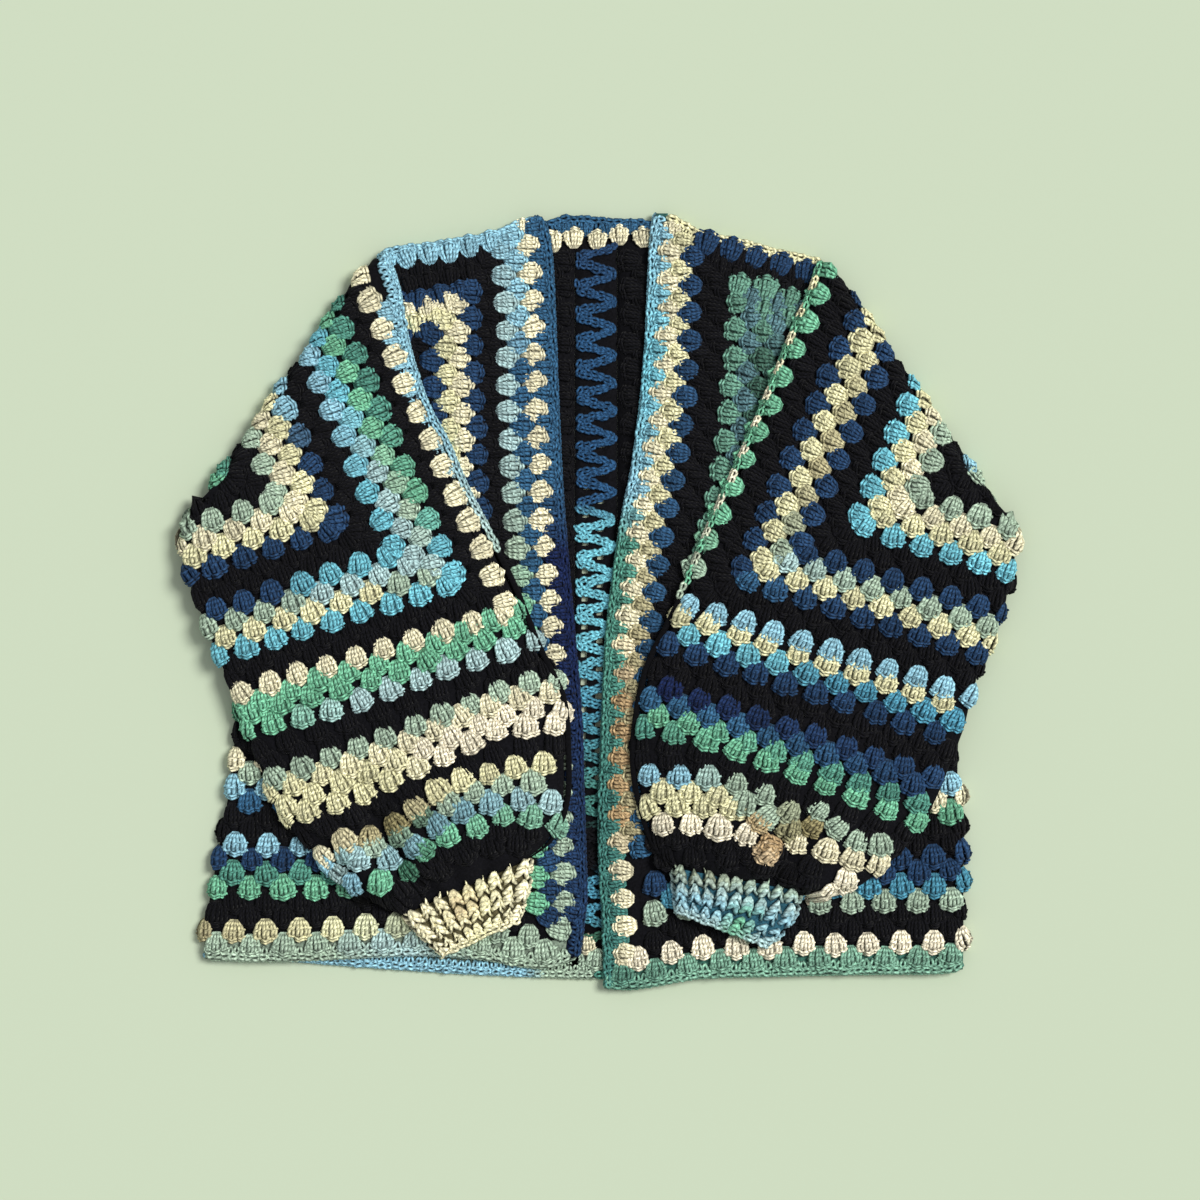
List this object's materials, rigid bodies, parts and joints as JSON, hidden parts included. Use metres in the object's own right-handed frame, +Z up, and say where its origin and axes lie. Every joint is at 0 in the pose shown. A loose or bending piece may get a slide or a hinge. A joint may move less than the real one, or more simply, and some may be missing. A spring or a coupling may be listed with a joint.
{
  "type": "crochet cardigan",
  "caption": "Crochet cardigan of clustered stripes laid flat, face up, open at the front, with both sleeves folded forward and gathered into ribbed cuffs.",
  "frame": {"origin": "on the table under the middle of the garment's bounding box", "axes": "+X across the garment towards its right side in the picture, +Y from hem to neck, +Z up from the table"},
  "size_m": [0.6177, 0.5736, 0.0307],
  "materials": {
    "cluster_fabric": "wool clusters in black, blue, green and cream stripes",
    "join_lace": "wool zigzag lace in navy to turquoise",
    "edging": "firm single crochet in blue and teal green",
    "seam_edge": "crocheted seam in cream and light blue",
    "cuff_rib": "ribbed wool in cream yellow and sage blue"
  },
  "bodies": {
    "root": {"left_body": "cluster_fabric", "left_sleeve": "cluster_fabric", "left_cuff": "cuff_rib", "left_hem": "edging", "left_front_band": "edging", "left_shoulder_seam": "seam_edge", "left_sleeve_seam": "seam_edge", "right_body": "cluster_fabric", "right_sleeve": "cluster_fabric", "right_cuff": "cuff_rib", "right_hem": "edging", "right_front_band": "edging", "right_shoulder_seam": "seam_edge", "right_sleeve_seam": "seam_edge", "back_join": "join_lace", "neck_band": "edging"}
  },
  "joints": []
}
